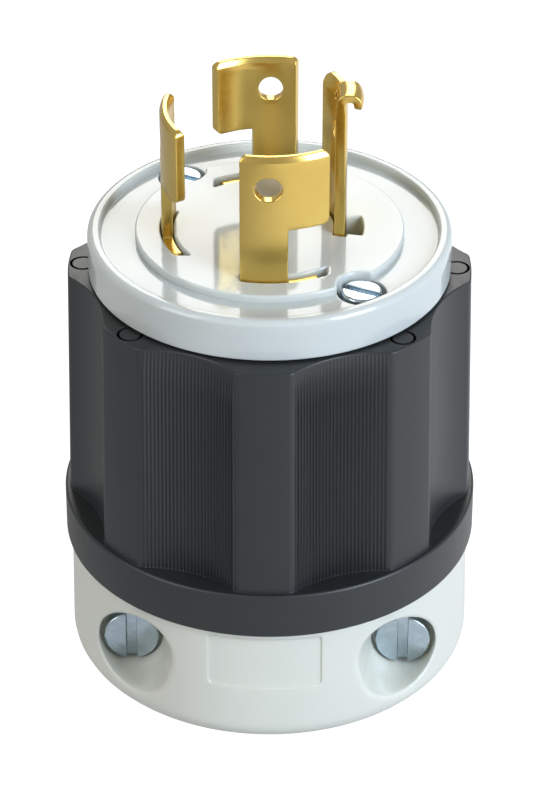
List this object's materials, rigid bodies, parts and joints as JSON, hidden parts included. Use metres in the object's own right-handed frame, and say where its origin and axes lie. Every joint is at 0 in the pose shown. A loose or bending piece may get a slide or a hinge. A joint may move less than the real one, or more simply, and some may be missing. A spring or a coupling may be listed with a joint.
{
  "type": "locking plug",
  "caption": "Round locking plug for a flexible cord: fluted dark grip, pale slotted face with curved brass blades, pale cord cap with a screw clamp.",
  "frame": {"origin": "centre of the flat foot of the cord cap, on the plug's axis", "axes": "+Z along the plug's axis towards the blades; -Y is the front, where the clamp screw heads are; +X is to the right seen from the front"},
  "size_m": [0.052, 0.052, 0.08],
  "materials": {
    "light_nylon": "glossy translucent off-white nylon",
    "dark_nylon": "satin charcoal nylon",
    "jaw_nylon": "satin off-white nylon",
    "zinc_steel": "bright zinc plate, turned",
    "brass": "brushed brass"
  },
  "bodies": {
    "plug": {"cord_cap": "light_nylon", "grip_shell": "dark_nylon", "face_plate": "light_nylon", "terminal_block": "light_nylon", "clamp_screw_left": "zinc_steel", "clamp_screw_right": "zinc_steel", "long_screw_front": "zinc_steel", "long_screw_back": "zinc_steel", "threaded_insert_front": "brass", "threaded_insert_back": "brass", "blade_x": "brass", "blade_y": "brass", "blade_z": "brass", "blade_neutral": "brass", "wire_plate_x": "zinc_steel", "wire_plate_y": "zinc_steel", "wire_plate_z": "zinc_steel", "wire_plate_neutral": "zinc_steel", "terminal_screw_x": "zinc_steel", "terminal_screw_y": "zinc_steel", "terminal_screw_z": "zinc_steel", "terminal_screw_neutral": "zinc_steel"},
    "jaw": {"clamp_jaw": "jaw_nylon", "clamp_nut_left": "zinc_steel", "clamp_nut_right": "zinc_steel"}
  },
  "joints": [
    {"name": "clamp_close", "type": "slide", "parent": "plug", "child": "jaw", "axis": [0, -1, 0], "range_m": [0, 0.0065]}
  ]
}
